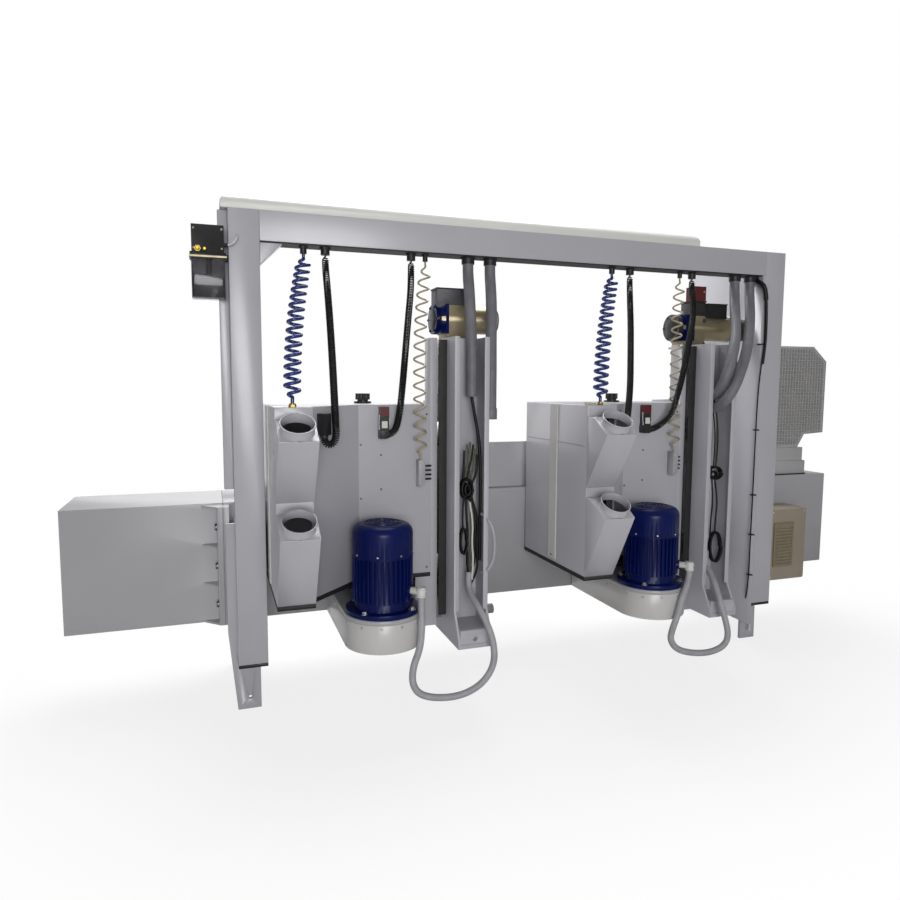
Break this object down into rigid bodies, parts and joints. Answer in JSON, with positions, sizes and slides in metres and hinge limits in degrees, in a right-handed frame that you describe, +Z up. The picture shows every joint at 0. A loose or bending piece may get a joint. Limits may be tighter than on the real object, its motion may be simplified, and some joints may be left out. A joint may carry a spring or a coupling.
{
  "type": "tenoning machine",
  "caption": "Tenoning machine with a long bed, cable portal, hooded cutter heads that lift on columns, flange motors, dust spouts, spiral hoses and a sliding work carriage.",
  "frame": {"origin": "floor point under the middle of the bed length and of the overall depth", "axes": "+X along the bed towards the mesh guard, +Y towards the operator side, +Z up"},
  "size_m": [4.76, 1.6399, 2.516],
  "materials": {
    "bed_paint": "gloss enamel",
    "grey_paint": "gloss enamel",
    "cover_paint": "satin enamel",
    "white_paint": "satin enamel",
    "beige_paint": "textured enamel",
    "blue_paint": "gloss enamel",
    "zinc_steel": "zinc plated",
    "ground_steel": "ground",
    "tool_steel": "dark tool steel",
    "cast_iron": "machined",
    "gear_aluminium": "cast",
    "black_plastic": "moulded",
    "cream_plastic": "extruded",
    "grille_plastic": "moulded",
    "clear_plastic": "clear",
    "black_rubber": "matt",
    "blue_hose": "polyurethane",
    "cord_plastic": "polyurethane jacket",
    "conduit_plastic": "polyamide"
  },
  "bodies": {
    "frame": {"bed_main": "bed_paint", "bed_left_extension": "bed_paint", "bed_legs": "bed_paint", "frame_bolts": "zinc_steel", "portal_posts": "grey_paint", "portal_beam": "grey_paint", "post_end_caps": "black_plastic", "cable_covers": "cream_plastic", "lube_pump": "black_plastic", "lube_reservoir": "clear_plastic", "control_cabinet": "beige_paint", "cabinet_grille": "grille_plastic", "end_guard_base": "white_paint", "mesh_guard": "white_paint", "hose_glands": "black_plastic", "guide_rails": "ground_steel", "columns": "grey_paint", "way_covers": "black_rubber", "z_gearmotors": "gear_aluminium", "supply_cables": "conduit_plastic", "left_spiral_hoses": "blue_hose", "left_coil_cords": "cord_plastic", "right_spiral_hoses": "blue_hose", "right_coil_cords": "cord_plastic"},
    "left_head": {"left_slide_plate": "grey_paint", "left_slide_blocks": "ground_steel", "left_head_plate": "bed_paint", "left_spindle_housing": "cast_iron", "left_hood": "grey_paint", "left_dust_spouts": "grey_paint", "left_belt_cover": "cover_paint", "left_drive_belt": "black_rubber", "left_motor": "blue_paint", "left_head_fittings": "black_plastic", "left_motor_conduit": "conduit_plastic"},
    "left_screw": {"left_z_screw": "ground_steel"},
    "left_rotor": {"left_motor_pulley": "cast_iron"},
    "left_spindle": {"left_spindle": "ground_steel", "left_cutter_stack": "tool_steel"},
    "left_knob": {"left_hood_knob": "black_plastic"},
    "right_head": {"right_slide_plate": "grey_paint", "right_slide_blocks": "ground_steel", "right_head_plate": "bed_paint", "right_spindle_housing": "cast_iron", "right_hood": "grey_paint", "right_dust_spouts": "grey_paint", "right_belt_cover": "cover_paint", "right_drive_belt": "black_rubber", "right_motor": "blue_paint", "right_head_fittings": "black_plastic", "right_motor_conduit": "conduit_plastic"},
    "right_screw": {"right_z_screw": "ground_steel"},
    "right_rotor": {"right_motor_pulley": "cast_iron"},
    "right_spindle": {"right_spindle": "ground_steel", "right_cutter_stack": "tool_steel"},
    "right_knob": {"right_hood_knob": "black_plastic"},
    "carriage": {"carriage_base": "grey_paint", "carriage_table": "grey_paint", "clamp_frame": "grey_paint"},
    "clamp": {"clamp_rod": "ground_steel"}
  },
  "joints": [
    {"name": "left_head_lift", "type": "slide", "parent": "frame", "child": "left_head", "axis": [0, 0, 1], "range_m": [-0.06, 0.22], "deforming": ["left_spiral_hoses", "left_coil_cords"]},
    {"name": "left_screw_turn", "type": "hinge", "parent": "frame", "child": "left_screw", "pos_m": [-0.434, -0.08, 1], "axis": [0, 0, 1], "range_deg": [-1080.1, 3960.1]},
    {"name": "left_spindle_spin", "type": "hinge", "parent": "left_head", "child": "left_spindle", "pos_m": [-0.924, -0.03, 1], "axis": [0, 0, 1], "continuous": true},
    {"name": "left_motor_spin", "type": "hinge", "parent": "left_head", "child": "left_rotor", "pos_m": [-0.924, -0.46, 0.5], "axis": [0, 0, 1], "continuous": true},
    {"name": "left_knob_turn", "type": "hinge", "parent": "left_head", "child": "left_knob", "pos_m": [-0.924, -0.03, 1.55], "axis": [0, 0, 1], "range_deg": [0, 270]},
    {"name": "right_head_lift", "type": "slide", "parent": "frame", "child": "right_head", "axis": [0, 0, 1], "range_m": [-0.06, 0.22], "deforming": ["right_spiral_hoses", "right_coil_cords"]},
    {"name": "right_screw_turn", "type": "hinge", "parent": "frame", "child": "right_screw", "pos_m": [1.061, -0.08, 1], "axis": [0, 0, 1], "range_deg": [-1080.1, 3960.1]},
    {"name": "right_spindle_spin", "type": "hinge", "parent": "right_head", "child": "right_spindle", "pos_m": [0.571, -0.03, 1], "axis": [0, 0, 1], "continuous": true},
    {"name": "right_motor_spin", "type": "hinge", "parent": "right_head", "child": "right_rotor", "pos_m": [0.571, -0.46, 0.5], "axis": [0, 0, 1], "continuous": true},
    {"name": "right_knob_turn", "type": "hinge", "parent": "right_head", "child": "right_knob", "pos_m": [0.571, -0.03, 1.55], "axis": [0, 0, 1], "range_deg": [0, 270]},
    {"name": "carriage_travel", "type": "slide", "parent": "frame", "child": "carriage", "axis": [1, 0, 0], "range_m": [-1, 1.3]},
    {"name": "clamp_press", "type": "slide", "parent": "carriage", "child": "clamp", "axis": [0, 0, -1], "range_m": [0, 0.058]}
  ],
  "couplings": [
    {"joint": "left_screw_turn", "follows": "left_head_lift", "rad_per_m": 314.16},
    {"joint": "left_motor_spin", "follows": "left_spindle_spin", "ratio": 0.5},
    {"joint": "right_screw_turn", "follows": "right_head_lift", "rad_per_m": 314.16},
    {"joint": "right_motor_spin", "follows": "right_spindle_spin", "ratio": 0.5}
  ]
}
